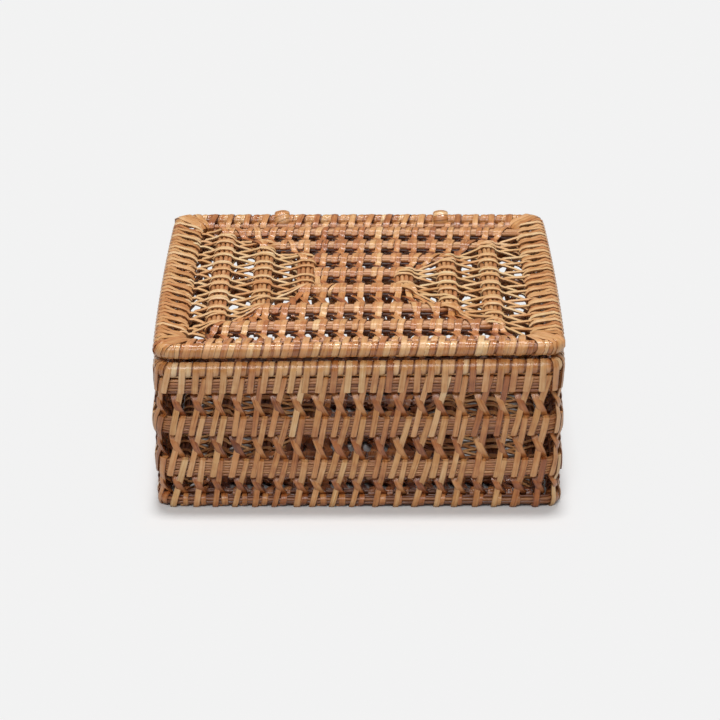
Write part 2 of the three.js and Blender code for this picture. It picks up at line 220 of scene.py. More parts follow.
def add_rod(line, diameter, tone, closed=True):
    """A rod drawn as a line, rounded by the curve's bevel and then made a mesh"""
    rod = add_curve("rod", line, closed)
    rod.data.bevel_depth = diameter / 2 * mm
    rod.data.bevel_resolution = 2
    rod.data.use_fill_caps = not closed
    pick(rod)
    bpy.ops.object.convert(target="MESH")
    rod = bpy.context.object
    sides, grain_share = 8, 0.8
    along, seed, spots = lengths_along(line), luck.uniform(*any_seed), []
    for place in range(len(rod.data.vertices)):
        across = abs(place % sides - sides / 2) / (sides / 2)
        ring = min(place // sides, len(line) - 1)
        spots.append((along[ring], diameter * mm * grain_share * across, seed))
    mark_grain(rod, spots, tone)
    return rod


def bind(name, parts, finish, slot, body, *nodes):
    """Joins parts into one named piece that rides on a body and stands for its CAD nodes"""
    pick(parts[0])
    for part in parts[1:]:
        part.select_set(True)
    if len(parts) > 1:
        bpy.ops.object.join()
    piece = bpy.context.object
    piece.name = piece.data.name = name
    bpy.ops.object.mode_set(mode="EDIT")
    bpy.ops.mesh.select_all(action="SELECT")
    bpy.ops.mesh.remove_doubles(threshold=0.001 * mm)
    bpy.ops.object.mode_set(mode="OBJECT")
    bpy.ops.object.shade_smooth_by_angle(angle=math.radians(50))
    piece.data.materials.clear()
    piece.data.materials.append(finish)
    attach(piece, body)
    if nodes:
        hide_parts(*nodes)
    return piece


outer_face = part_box("base_rail")[1].x / mm + 0.9
base_centre, base_inset, base_corner, base_wander = 3.2, 2.7, 6, 0.12
base_half, ring_radius = outer_face - base_inset, 1.6
middle_rod, ring_rod = 1.6, 1.75
middle_line = square_line(base_half, base_corner, base_centre, base_wander)
base_rods = [add_rod(middle_line, middle_rod, 0.5)]
for place in range(6):
    angle = math.radians(60 * place + 30)
    aside, above = ring_radius * math.cos(angle), ring_radius * math.sin(angle)
    line = square_line(base_half + aside, base_corner + aside, base_centre + above, base_wander)
    base_rods.append(add_rod(line, ring_rod, luck.uniform(0.1, 0.45)))
bind("base_rail_rods", base_rods, rod_finish, "rods", "box", "base_rail")

cane_shades = [
    (0.0, (90, 42, 17)), (0.2, (146, 81, 38)), (0.4, (190, 122, 67)), (0.58, (217, 159, 101)),
    (0.76, (235, 189, 136)), (0.9, (245, 209, 162)), (1.0, (250, 225, 185)),
]
strip_finish = cane_finish("split_cane_strips", cane_shades, 0.32, edge_shade=0.75, fibre_depth=0.2)


def shade_near(middle, spread=0.09):
    """Shade of one strip, a little darker or paler than its neighbours"""
    return middle + max(-2 * spread, min(2 * spread, luck.gauss(0, spread)))


def add_strip(path, width, thickness=0.9):
    """A flat strip added as a grid, laid along its path with a slight crown, and thickened"""
    crown, wall_share = 0.28, 0.8
    path = [Vector(place) for place in path]
    steps, along = len(path) - 1, lengths_along(path)
    bpy.ops.object.select_all(action="DESELECT")
    bpy.ops.mesh.primitive_grid_add(x_subdivisions=steps, y_subdivisions=2, size=2)
    strip = bpy.context.object
    fibre = []
    for vertex in strip.data.vertices:
        step = round((vertex.co.x + 1) / 2 * steps)
        across = vertex.co.y
        ahead = (path[min(step + 1, steps)] - path[max(step - 1, 0)]).normalized()
        side = (Vector((1, 0, 0)) - ahead * ahead.x).normalized()
        height = thickness * (0.5 - crown * across * across)
        vertex.co = (path[step] + side * across * width / 2 + ahead.cross(side) * height) * mm
        fibre.append((along[step] * mm, across * grain_half * mm, 0))
    mark_grain(strip, fibre, 0.5)
    wall = strip.modifiers.new("thickness", "SOLIDIFY")
    wall.thickness = thickness * wall_share * mm
    wall.offset = -1
    wall.use_even_offset = True
    bpy.ops.object.modifier_apply(modifier=wall.name)
    return strip


def lay(pattern, tone, place):
    """One copy of a strip, with its own mesh, grain and shade, moved by the given rule"""
    copy = pattern.copy()
    copy.data = pattern.data.copy()
    bpy.context.collection.objects.link(copy)
    seed = luck.uniform(*any_seed)
    for vertex in copy.data.vertices:
        vertex.co = place(vertex.co)
    for spot in copy.data.attributes["fibre"].data:
        spot.vector = (spot.vector[0], spot.vector[1], seed)
    for spot in copy.data.attributes["tone"].data:
        spot.value = tone
    return copy


def drop(*patterns):
    for pattern in patterns:
        bpy.data.objects.remove(pattern)


def bend_round(piece, half, radius):
    """Bends a piece that is laid out straight, from the middle of the back, round the box"""
    outline = add_curve("outline", square_line(half, radius, height=0, steps=4), closed=True)
    outline.data.twist_mode = "Z_UP"
    bend = piece.modifiers.new("round the box", "CURVE")
    bend.object = outline
    bend.deform_axis = "POS_X"
    pick(piece)
    bpy.ops.object.modifier_apply(modifier=bend.name)
    drop(outline)


def shifted(along, stretch=1.0, lean=0.0, rise=0.0):
    """Rule that moves a strip along the wall, widens it, leans it over and lifts it"""
    def place(spot):
        x = spot.x * stretch + along * mm + lean * spot.z
        return Vector((x, spot.y, spot.z + rise * mm))
    return place


def ring_path(radius, height, pitch, steps=12, start=-125):
    """One turn of a strip round a rail, over its top to the front, as it winds along"""
    path = []
    for step in range(steps, -1, -1):
        share = step / steps
        angle = math.radians(start - 360 * share)
        y, z = radius * math.cos(angle), height + radius * math.sin(angle)
        path.append((pitch * (0.5 - share), y, z))
    return path


def perimeter(half, radius):
    return 8 * (half - radius) + math.tau * radius


stitch_count = 79
base_loop = (base_half, base_corner)
base_pitch = perimeter(*base_loop) / stitch_count
turn_pattern = add_strip(ring_path(radius=2.75, height=base_centre, pitch=1.6), width=2.8)
turns = []
for place in range(stitch_count):
    along = (place + 0.52 + luck.uniform(-0.08, 0.08)) * base_pitch
    move = shifted(along, stretch=luck.uniform(0.8, 1.2), lean=luck.uniform(-0.1, 0.35),
                   rise=luck.uniform(0, 0.25))
    # The base's turns take a darker shade than the rim's: painted shade at the foot of the box, where
    # less light reaches.
    turns.append(lay(turn_pattern, shade_near(0.4), move))
drop(turn_pattern)
base_turns = bind("base_rail_turns", turns, strip_finish, "strips", "box")
bend_round(base_turns, *base_loop)

# Bands of the wall: three flat hoops, each of fine rattan rods laid side by side in two layers.
# They hang between the rails on the lacing alone, and their rods stay a little uneven.
wall_corner, wall_wander, rod_overlap = 9, 0.13, 1.06
front_layer, back_layer = 0.85, 2.9
bands = {}
for name, front_rods, back_rods, trim, proud in [
        ("lower_band", 6, 5, 0.3, 0), ("middle_band", 6, 5, 0.8, 0), ("upper_band", 5, 4, -0.35, -0.6)]:
    low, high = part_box(name)
    low, high = low.z / mm + trim, high.z / mm - trim
    bands[name] = (low + high) / 2, (high - low) / 2, proud
    rods = []
    for count, inset in [(front_rods, front_layer), (back_rods, back_layer)]:
        pitch = (high - low) / count
        for row in range(count):
            half, level = outer_face + proud - inset, low + pitch * (row + 0.5)
            line = square_line(half, wall_corner - inset, level, wall_wander)
            rods.append(add_rod(line, pitch * rod_overlap, luck.uniform(0.3, 0.72)))
    bind(f"{name}_rods", rods, rod_finish, "rods", "box", name)

# Lacing of the wall: one flat strip of split cane runs round each gap. It goes over the front of
# both hoops, under the lower one, up behind it, across the gap over its own last leg and up
# behind the upper one, so that each gap shows a row of slanting crosses.
steep_hump = ((1.04, 0), (0.74, 0.66), (0.3, 1))
strip_past = 0.45


def between(first, last, share):
    return first + (last - first) * share


def stitch_paths(near, far, distance, crossing, lean, reach, pitch, hump=steep_hump, tucked=False):
    """Paths of the leg over two bundles and of the leg behind them, as seen from the front.
    A bundle is given as half its width and the depths of its edge, its crest and its back"""
    (low, low_edge, low_crest, low_back), (top, top_edge, top_crest, top_back) = near, far
    over_at, under_at = crossing
    gap, top_side = distance - low - top, distance - top
    middle = low + gap / 2
    low_turn = (-low - strip_past, (low_edge + low_back) / 2)
    top_turn = (distance + top + strip_past, (top_edge + top_back) / 2)
    hump += tuple((-share, rise) for share, rise in hump[::-1])
    over = [(distance + top - 0.8, top_edge - 1) if tucked else top_turn]
    over += [(distance + top * share, between(top_edge, top_crest, rise)) for share, rise in hump]
    over += [
        (between(middle, top_side, 0.4), between(over_at, top_edge, 0.25)),
        (middle, over_at),
        (between(middle, low, 0.4), between(over_at, low_edge, 0.25)),
    ]
    over += [(low * share, between(low_edge, low_crest, rise)) for share, rise in hump]
    over.append((0.8 - low, low_edge - 1) if tucked else low_turn)
    behind = [
        top_turn,
        (distance + top - 0.6, top_back),
        (top_side + 0.5, top_back),
        (top_side - gap * 0.08, between(top_back, top_edge, 0.4)),
        (between(middle, top_side, 0.4), between(under_at, top_back, 0.15)),
        (middle, under_at),
        (between(middle, low, 0.4), between(under_at, low_back, 0.15)),
        (low + gap * 0.08, between(low_back, low_edge, 0.4)),
        (low - 0.5, low_back),
        (0.6 - low, low_back),
        low_turn,
    ]
    knots = [
        (low_turn[0], -(low + middle) * lean),
        (low, reach),
        (top_side, -reach),
        (top_turn[0], (distance + top - middle) * lean - pitch),
    ]

    def aside(level):
        for (start, first), (end, last) in zip(knots, knots[1:]):
            if level <= end:
                return between(first, last, (level - start) / (end - start))

    return [((v - middle) * lean, v, w) for v, w in over], [(aside(v), v, w) for v, w in behind]


def upright(path, base):
    """Stands a path that was laid out flat up against the wall, at a height"""
    return [(x, -z, y + base) for x, y, z in path]


wall_loop = (outer_face, wall_corner)
wall_pitch = perimeter(*wall_loop) / stitch_count
hoops = [(base_centre, (2.5, -0.3, 0.2, -5.6))]
for centre, half, proud in bands.values():
    hoops.append((centre, (half, 0.35 + proud, 0.5 + proud, -4.3 + proud)))
for gap, (level, near), (next_level, far) in zip(("low", "middle", "high"), hoops, hoops[1:]):
    distance = next_level - level
    over, behind = stitch_paths(
        near, far, distance, crossing=(-1.3, -0.2), lean=0.22, reach=3.0, pitch=wall_pitch)
    over_pattern = add_strip(upright(over, level), width=2.95)
    behind_pattern = add_strip(upright(behind, level), width=3.2, thickness=0.8)
    legs = []
    for place in range(stitch_count):
        along = (place + 0.5 + luck.uniform(-0.09, 0.09)) * wall_pitch
        wide, lean = luck.uniform(0.86, 1.1), luck.uniform(-0.07, 0.07)
        foot = along - lean * (level + distance / 2)
        # The leg behind the hoops is the same strip as the leg in front but takes a darker shade: painted
        # shade where it runs behind the hoops.
        legs.append(lay(over_pattern, shade_near(0.56, 0.14), shifted(foot, wide, lean)))
        legs.append(lay(behind_pattern, shade_near(0.38, 0.12), shifted(along, wide, 0)))
    drop(over_pattern, behind_pattern)
    sides = [f"lacing_{side}_{gap}" for side in ("front", "right", "back", "left")]
    lacing = bind(f"wall_lacing_{gap}", legs, strip_finish, "strips", "box", *sides)
    bend_round(lacing, *wall_loop)

# Rim rail: a thick cane core wound close with flat cane. Every second turn is long, and reaches
# down over the upper band to tie it to the rail. The turns crowd together round the corners.
rim_low, rim_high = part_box("rim_rail")
rail_radius, rail_corner = (rim_high.z - rim_low.z) / 2 / mm, 5.2
rail_half = rim_high.x / mm - rail_radius + 0.5
rail_loop = (rail_half, rail_corner)
rim_centre = (rim_low.z + rim_high.z) / 2 / mm - 1
hinge_boxes = [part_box(f"hinge_loop_{side}") for side in ("left", "right")]
hinge_places = [(low.x + high.x) / 2 / mm + 1.2 for low, high in hinge_boxes]
core = [add_rod(square_line(*rail_loop, rim_centre), 5.9, 0.4)]
bind("rim_rail_core", core, rod_finish, "rods", "box")
wound_finish = cane_finish("wound_cane_strips", cane_shades, 0.23, edge_shade=0.75, fibre_depth=0.2)


def winding_places(half, radius, pitch, crowded=0.64):
    """Places of the turns along a rail, with the share of a full width that each takes"""
    places = []
    straight, corner = 2 * (half - radius), math.pi / 2 * radius
    along = 0.0
    while along < 4 * (straight + corner) - pitch / 2:
        spot = (along + half - radius) % (straight + corner) - straight
        share = crowded if -1 < spot < corner - 1 else 1.0
        places.append((along + pitch * share / 2, share))
        along += pitch * share
    return places


def near_hinge(along, room=7):
    """True where a turn at this place along a rail would run into a hinge loop"""
    length = perimeter(*rail_loop)
    x = -along if along < length / 2 else length - along
    return min(abs(x - place) for place in hinge_places) < room


wound = rail_radius - 0.5
long_side = [(-5.2, -1.8), (-2.4, -3.0), (0, -wound), (2.45, -2.5), (3.5, 0), (2.65, 2.5), (0, 3.6),
             (-3, 3.5), (-5, 3.35), (-8, 3.3), (-10.8, 3.1), (-11.5, 0.7), (-10.6, -1.8)]
long_path = [(0.1 * v + 0.4, -w, rim_centre + v) for v, w in long_side]
short_pattern = add_strip(ring_path(wound, rim_centre, pitch=-2.6), width=4.2)
long_pattern = add_strip(long_path, width=3.1)
turns = []
for place, (along, share) in enumerate(winding_places(*rail_loop, pitch=3.2)):
    lean = luck.uniform(-0.05, 0.08)
    foot = along - lean * rim_centre + luck.uniform(-0.15, 0.15)
    if place % 2 == 0 and not near_hinge(along):
        turns.append(lay(long_pattern, shade_near(0.6, 0.12), shifted(foot, share, lean)))
    else:
        wide = share * luck.uniform(0.9, 1.02)
        turns.append(lay(short_pattern, shade_near(0.68, 0.12), shifted(foot, wide, lean)))
drop(short_pattern, long_pattern)
sides = [f"rim_lashing_{side}" for side in ("front", "right", "back", "left")]
rim_winding = bind("rim_rail_winding", turns, wound_finish, "rails", "box", "rim_rail", *sides)
bend_round(rim_winding, *rail_loop)

# Floor: the same bundle of rods coiled into a square from a short middle bar, inside a border that
# lies along the base rail. Turn is laced to turn as on the lid, with slightly wider strips.
coil_bend, coil_rod, border_start = 6, 2.12, 13


def evenly(first, last, count):
    return [between(first, last, turn / (count - 1)) for turn in range(count)]


def coil_corners(half):
    """Corners of a coil's line, from the free end of its middle bar out to the corner of its border"""
    back, front = evenly(half - 12, 7.5, 4), [19 - half, 41 - half, -15.5]
    left, right = evenly(16 - half, -26, 3), evenly(half - 19.5, 22, 3)
    corners = [(left[2] + 4.8, back[3])]
    for turn in (2, 1, 0):
        corners += [(right[turn], back[turn + 1]), (right[turn], front[turn])]
        corners += [(left[turn], front[turn]), (left[turn], back[turn])]
    corners += [(half, back[0]), (half, -half), (-half, -half), (-half, half), (half, half)]
    return [Vector((x, y + middle_y, 0)) for x, y in corners]


def left_of(way):
    return Vector((-way.y, way.x, 0))


def coil_line(corners, offset, height):
    """Line of one rod of a coiled bundle, a distance outwards from the middle of the bundle"""
    straight_step, bend_steps, end_steps, wander = 9, 6, 8, 0.08
    phase = [luck.uniform(*any_phase) for _ in range(4)]
    radius = coil_bend + offset
    first = corners[0] + left_of((corners[1] - corners[0]).normalized()) * offset
    line = []
    for before, corner, after in zip(corners, corners[1:], corners[2:]):
        ahead, onward = (corner - before).normalized(), (after - corner).normalized()
        centre = corner - ahead * coil_bend + onward * coil_bend
        start = centre - onward * radius
        steps = max(2, round((start - first).length / straight_step))
        line += [first.lerp(start, step / steps) for step in range(steps)]
        for step in range(bend_steps):
            angle = math.pi / 2 * step / bend_steps
            line.append(centre - onward * radius * math.cos(angle) + ahead * radius * math.sin(angle))
        first = centre + ahead * radius
    end = corners[-1] + left_of((corners[-1] - corners[-2]).normalized()) * offset
    line += [first.lerp(end, step / end_steps) for step in range(end_steps + 1)]
    bent = []
    for step, place in enumerate(line):
        sway = math.sin(step * 0.7 + phase[0]) + math.sin(step * 0.31 + phase[1])
        rise = math.sin(step * 0.6 + phase[2]) + math.sin(step * 0.37 + phase[3])
        bent.append((place + Vector((sway * wander, sway * wander, height + rise * wander))) * mm)
    return bent


def coil_places(corners, first, second, pitch):
    """Places of the stitches between two runs of a coil, straight across but fanned at its corners"""
    clear, jitter, stagger, inset, fan = 3, 0.4, 0.9, 1, 0.15
    near, far = corners[first:first + 2], corners[second:second + 2]
    ahead = (near[1] - near[0]).normalized()
    outward = left_of(ahead)
    distance = (far[0] - near[0]).dot(outward)
    if distance < 0:
        ahead, outward, distance = -ahead, -outward, -distance
    level = near[0].dot(outward)
    low, high = sorted(corner.dot(ahead) for corner in near)
    start, end = sorted(corner.dot(ahead) for corner in far)
    if second == 2:
        start, end = low, high
    for step in range(math.ceil((start + clear) / pitch), math.floor((end - clear) / pitch) + 1):
        spot = step * pitch + luck.uniform(-jitter, jitter)
        if abs(ahead.y) > 0.5:
            spot += stagger if step % 2 else -stagger
        held = min(max(spot, low + inset), high - inset)
        held += (spot - held) * fan
        yield outward * level + ahead * held, outward * (level + distance) + ahead * spot, ahead


def across_gap(near, far, ahead, distance, wide, lean):
    """Rule that sets a strip, laid out flat, across from one run of a coil to the next"""
    def place(spot):
        share = spot.y / (distance * mm)
        along = spot.x * wide + lean * (spot.y - distance / 2 * mm)
        flat = near * mm + (far - near) * mm * share + ahead * along
        return Vector((flat.x, flat.y, spot.z))
    return place


def crossed_paths(near, far, distance, crossing, near_is_left):
    """Paths of two legs that cross between upright runs, each over one bundle and under the other"""
    gap = distance - near[0] - far[0]
    valley = near[0] + gap * (0.32 if near_is_left else 0.68)
    front = 1 if near_is_left else -1

    def around(bundle, over, gentle):
        half, edge, crest, back = bundle
        side = [(-half - strip_past, (edge + back) / 2)]
        if not over:
            return side + [(0.6 - half, back), (half - 0.5, back), (half + 0.8, between(back, edge, 0.4))]
        outer = [(-1.1, 0), (-0.92, 0.58), (-0.6, 0.9), (-0.2, 1)]
        inner = [(0.2, 1), (0.56, 0.9), (0.88, 0.6)] + ([] if gentle else [(1.1, 0.1)])
        return side + [(half * share, between(edge, crest, rise)) for share, rise in outer + inner]

    paths = []
    for over_left in (True, False):
        over_near = over_left == near_is_left
        start = around(near, over_near, not near_is_left)
        end = [(distance - v, w) for v, w in around(far, not over_near, near_is_left)][::-1]
        before, after = start[-1], end[0]
        rising = [
            (between(before[0], valley, 0.5), between(before[1], crossing, 0.65)),
            (valley, crossing),
            (between(after[0], valley, 0.5), between(after[1], crossing, 0.58)),
        ]
        left, middle, right = (1.1, 1.4, 5) if over_left else (1.2, -1.1, -0.9)
        if not near_is_left:
            left, right = right, left
        knots = [(near[0], left), (valley, middle), (distance - far[0], right)]
        path = []
        for v, w in (start + rising + end)[::-1]:
            held = min(max(v, knots[0][0]), knots[2][0])
            (begin, first), (close, last) = knots[:2] if held < valley else knots[1:]
            path.append((front * between(first, last, (held - begin) / (close - begin)), v, w))
        paths.append(path)
    return paths


def lace_coil(corners, runs, bundle, border, crossing, pitch, width, tone):
    """Stitches between each of the runs and the turn outside it"""
    broad_hump = ((1.07, 0), (0.92, 0.62), (0.56, 0.92), (0.2, 1))
    legs = []
    for first, second in runs:
        ahead = (corners[first + 1] - corners[first]).normalized()
        distance = abs((corners[second] - corners[first]).dot(left_of(ahead)))
        outside = border if second >= border_start else bundle
        if abs(ahead.x) > 0.5:
            paths = stitch_paths(bundle, outside, distance, crossing, lean=3 / distance, reach=3.3,
                                 pitch=pitch, hump=broad_hump, tucked=True)
            # Over the rows the leg behind the bundles takes a darker shade than the leg over them:
            # painted shade where it runs under them.
            shares, shifts, spacing = (1.1, 1), (-0.1, -0.25), pitch
        else:
            paths = crossed_paths(bundle, outside, distance, sum(crossing) / 2, ahead.y < 0)
            shares, shifts, spacing = (0.95, 0.95), (0.2, 0.14), pitch * 1.14
        patterns = [add_strip(path, width * share) for path, share in zip(paths, shares)]
        for near, far, ahead in coil_places(corners, first, second, spacing):
            wide, lean = luck.uniform(0.88, 1.08), luck.uniform(-0.04, 0.04)
            move = across_gap(near, far, ahead, distance, wide, lean)
            for pattern, shift in zip(patterns, shifts):
                legs.append(lay(pattern, shade_near(tone + shift), move))
        drop(*patterns)
    return legs


def oval_turn(wide, high):
    """One turn of a strip round an oval core"""
    angles = [step * math.pi / 8 for step in range(17)]
    return [(0, wide * math.cos(angle), high * math.sin(angle)) for angle in angles]


def close_turns(corner, height, tone):
    """Three close slanting turns of strip beside the first corner of a coil"""
    clear, spacing, slant = 9.4, 2.6, 0.55
    pattern = add_strip(oval_turn(wide=4.9, high=2.8), width=1.8)
    turns = []
    for step in range(3):
        spot = Vector((corner.x + clear + spacing * step, corner.y, height)) * mm

        def move(place):
            return place + spot + Vector((slant * place.y, 0, 0))

        turns.append(lay(pattern, shade_near(tone, 0.14), move))
    drop(pattern)
    return turns


floor_low, floor_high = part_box("floor_coil")
floor_half = (floor_high.x - floor_low.x) / 2 / mm - 2.9
floor_corners = coil_corners(floor_half)
rods = []
for height in (2.4, 4.3):
    for offset in (-1.05, -3.15, 1.05, 3.15):
        line = coil_line(floor_corners[:border_start + 1], offset, height)
        rods.append(add_rod(line, coil_rod, luck.uniform(0, 0.35), closed=False))
for offset, height in [(-2, 2.6), (0, 2.5), (2, 2.6), (-1, 4.2), (1, 4.2)]:
    line = square_line(floor_half + offset, coil_bend + offset, height, wander=0.1)
    rods.append(add_rod(line, 1.9, luck.uniform(0, 0.35)))
bind("floor_coil_rods", rods, rod_finish, "rods", "box", "floor_coil")
floor_bundle, floor_border = (4.3, 3.9, 5.85, 1.0), (2.9, 3.6, 5.5, 1.0)
rings = [("centre", [(0, 2)]), ("inner", [(i, i + 4) for i in range(4)]),
         ("middle", [(i, i + 4) for i in range(4, 8)]), ("outer", [(i, i + 4) for i in range(8, 13)])]
for ring, runs in rings:
    legs = lace_coil(floor_corners, runs, floor_bundle, floor_border, crossing=(2.9, 3.8), pitch=8,
                     width=3.1, tone=0.4)
    if ring == "centre":
        legs += close_turns(floor_corners[3], height=3.4, tone=0.4)
    bind(f"floor_stitches_{ring}", legs, strip_finish, "strips", "box", f"floor_lacing_{ring}")

# Hinge loops: a flat core of cane bent once round the lid rail and the rim rail together, and wound
# close with strip across its own line. The lid turns on its own back rail inside the two loops.
lid_low, lid_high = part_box("lid_rail")
lid_centre = (lid_low.z + lid_high.z) / 2 / mm
rail_back = middle_y + rail_half + 0.2
loop_radius, loop_turns = 4.3, 19
loop_arc, loop_side = math.pi * loop_radius, lid_centre - rim_centre
loop_length = 2 * (loop_arc + loop_side)


def round_rails(along):
    """Place on the loop's line and the way outwards there, from the top of its back side over the lid"""
    if along < loop_arc:
        angle, level = math.pi - along / loop_radius, lid_centre
    elif along < loop_arc + loop_side:
        angle, level = 0, lid_centre - along + loop_arc
    elif along < 2 * loop_arc + loop_side:
        angle, level = -(along - loop_arc - loop_side) / loop_radius, rim_centre
    else:
        angle, level = math.pi, rim_centre + along - 2 * loop_arc - loop_side
    outward = Vector((0, -math.cos(angle), math.sin(angle)))
    return Vector((0, rail_back, level)) + outward * loop_radius, outward


turn_pattern = add_strip(oval_turn(wide=3.55, high=1.15), width=2.3, thickness=0.8)
for side, place, slant in zip(("left", "right"), hinge_places, (-0.32, -0.1)):
    turns = []
    for turn in range(loop_turns):
        middle = (turn + 0.5) / loop_turns * loop_length

        def wind(spot):
            along = (spot.x + slant * spot.y) / mm + middle
            point, outward = round_rails(along % loop_length)
            return (point + Vector((place, 0, 0))) * mm + Vector((spot.y, 0, 0)) + outward * spot.z

        turns.append(lay(turn_pattern, shade_near(0.62, 0.12), wind))
    bind(f"hinge_winding_{side}", turns, wound_finish, "rails", "box", f"hinge_loop_{side}")
drop(turn_pattern)

# Lid rail: a second cane core round the edge of the lid. One strip winds it close all the way round,
# and every third turn is a long one that also takes in the border of the panel.
core = [add_rod(square_line(*rail_loop, lid_centre), 5.7, 0.4)]
bind("lid_rail_core", core, rod_finish, "rods", "lid")
lid_wound = (lid_high.z - lid_low.z) / 2 / mm - 0.5
panel_low, panel_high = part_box("lid_coil")
lid_half = (panel_high.x - panel_low.x) / 2 / mm - 2.75
rail_in, rail_quarter = rail_half - lid_half, perimeter(*rail_loop) / 4
lid_pitch, turn_pitch, corner_room = 9.0, 2.85, 6
leans = {"front": 0.1, "right": -0.1, "back": 0, "left": 0.4}
lash_places = {}
for turn, (side, lean) in enumerate(leans.items()):
    shift = (-1.25 if turn % 2 else 1.8) + lid_pitch / 2 + lean * rail_in
    shift += math.sin(turn * math.pi / 2) * middle_y
    even_places = [step * lid_pitch - shift for step in range(-11, 12)]
    lash_places[side] = [along + luck.uniform(-0.5, 0.5) for along in even_places
                         if abs(along) < rail_half - corner_room]
turn_pattern = add_strip(ring_path(lid_wound, lid_centre, pitch=-2.8), width=2.95)
turns = []
for turn, (side, places) in enumerate(lash_places.items()):
    next_side = list(lash_places.values())[(turn + 1) % 4]
    onward = rail_quarter + next_side[0]
    for along, following in zip(places, places[1:] + [onward]):
        room = following - along
        count = round((room + (corner_room if following == onward else 0)) / turn_pitch)
        for step in range(1, count):
            spot = ((2 + turn) * rail_quarter + along + room * step / count) % (4 * rail_quarter)
            lean, wide = luck.uniform(0.02, 0.16), room / count / turn_pitch * luck.uniform(0.88, 1.12)
            if side == "back":
                lean = luck.uniform(-0.25, -0.08)
            move = shifted(spot - lean * lid_centre, wide, lean)
            turns.append(lay(turn_pattern, shade_near(0.56, 0.12), move))
drop(turn_pattern)
lid_winding = bind("lid_rail_winding", turns, wound_finish, "rails", "lid", "lid_rail")
bend_round(lid_winding, *rail_loop)

# Lid panel: a humped bundle of rods coiled from a middle bar out to a border inside the rail. It is
# laced turn to turn with flat cane that arches over each hump and crosses itself in the gaps.
lid_corners = coil_corners(lid_half)
rods = []
# The rods take their shade by where they lie in the bundle: the inner ones on top palest, the outer ones
# on top darker, the lower ones darkest. This is painted light on the bundle's top and painted shade on
# its front and underside.
for offset, height, tone in [(1, 77.2, 0.05), (3.05, 77.05, -0.1), (1.05, 79.4, 0.6), (3.15, 78.9, 0.4)]:
    for side in (-1, 1):
        line = coil_line(lid_corners[:border_start + 1], side * offset, height)
        rods.append(add_rod(line, coil_rod, tone + luck.uniform(0, 0.25), closed=False))
for offset, height in [(-1.8, 76.9), (0, 76.8), (1.8, 76.9), (-0.9, 78.5), (0.9, 78.5)]:
    line = square_line(lid_half + offset, coil_bend + offset, height, wander=0.1)
    rods.append(add_rod(line, 1.85, luck.uniform(0.25, 0.6)))
bind("lid_coil_rods", rods, rod_finish, "rods", "lid", "lid_coil")
lid_bundle, lid_border = (4.3, 78.9, 80.95, 75.7), (2.8, 77.9, 79.9, 75.4)
for ring, runs in rings:
    legs = lace_coil(lid_corners, runs, lid_bundle, lid_border, crossing=(77.7, 78.6), pitch=lid_pitch,
                     width=2.9, tone=0.62)
    if ring == "centre":
        legs += close_turns(lid_corners[3], height=78.2, tone=0.66)
        near, far = Vector((-20.6, lid_corners[0].y, 0)), Vector((-19.4, lid_corners[3].y, 0))
        distance = near.y - far.y
        long_path, _ = stitch_paths(
            lid_bundle, lid_bundle, distance, crossing=(78.6, 79), lean=0, reach=0, pitch=0)
        long_pattern = add_strip(long_path, width=2.7)
        move = across_gap(near, far, Vector((-1, 0, 0)), distance, wide=1, lean=0)
        legs.append(lay(long_pattern, 0.75, move))
        drop(long_pattern)
    bind(f"lid_stitches_{ring}", legs, strip_finish, "strips", "lid", f"lid_lacing_{ring}")

# Lid lashing: the long turns of the rail's winding. Each goes round the lid rail, over the border of
# the panel and back under both, and so holds the panel in its rail.
lash_tones = {"front": 0.66, "right": 0.76, "back": 0.54, "left": 0.76}
corner_in = rail_in + 3.9
lash_patterns = {}
for kind, reach, dip in (("long", rail_in, 0), ("corner", corner_in, 0), ("second", rail_in - 0.8, 0.45)):
    lash_side = [(-0.4, -3.5), (-2.6, -2.3), (-3.5, 0), (-2.5, 2.5), (0.1, 3.55), (2.7, 3.2 - dip),
                 (reach - 2.6, 2.8 - 2 * dip), (reach, 2.35 - dip), (reach + 1.6, 1.7 - dip),
                 (reach + 3, 0.3), (reach + 2.5, -2), (reach - 3, -2.6)]
    lash_path = [(0.28 * min(z, 2.5) if y < 1 else 0.7, y, z + lid_centre) for y, z in lash_side[::-1]]
    lash_patterns[kind] = add_strip(lash_path, width=3.3)
for turn, (side, places) in enumerate(lash_places.items()):
    ahead = Vector((math.cos(turn * math.pi / 2), math.sin(turn * math.pi / 2), 0))
    inward, centre = left_of(ahead), Vector((0, middle_y, 0))
    turns = []
    for along in places:
        near = centre - inward * rail_half + ahead * along
        held = max(min(along + leans[side] * rail_in, lid_half - 5), 5 - lid_half)
        far = centre - inward * lid_half + ahead * held
        if side == "back" and min(abs(near.x - hinge) for hinge in hinge_places) < 5.5:
            continue
        lean = luck.uniform(-0.08, 0.08) + (0.14 if side == "back" else 0)
        move = across_gap(near, far, ahead, rail_in, luck.uniform(0.86, 1.1), lean)
        turns.append(lay(lash_patterns["long"], shade_near(lash_tones[side], 0.11), move))
        if side in ("left", "right"):
            aside = ahead * lid_pitch / 2
            move = across_gap(near + aside, far + aside, ahead, rail_in, luck.uniform(0.9, 1.1), lean)
            turns.append(lay(lash_patterns["second"], shade_near(0.56), move))
    corner = ahead - inward
    for angle in (18, 45, 72):
        way = ahead * math.sin(math.radians(angle)) - inward * math.cos(math.radians(angle))
        near = centre + corner * (rail_half - rail_corner) + way * rail_corner
        far = centre + corner * (lid_half - coil_bend) + way * coil_bend
        wide, lean = luck.uniform(0.9, 1.1), luck.uniform(-0.05, 0.05)
        move = across_gap(near, far, -left_of((far - near).normalized()), corner_in, wide, lean)
        turns.append(lay(lash_patterns["corner"], shade_near(0.62), move))
    bind(f"lid_rail_lashing_{side}", turns, strip_finish, "strips", "lid", f"lid_lashing_{side}")
drop(*lash_patterns.values())

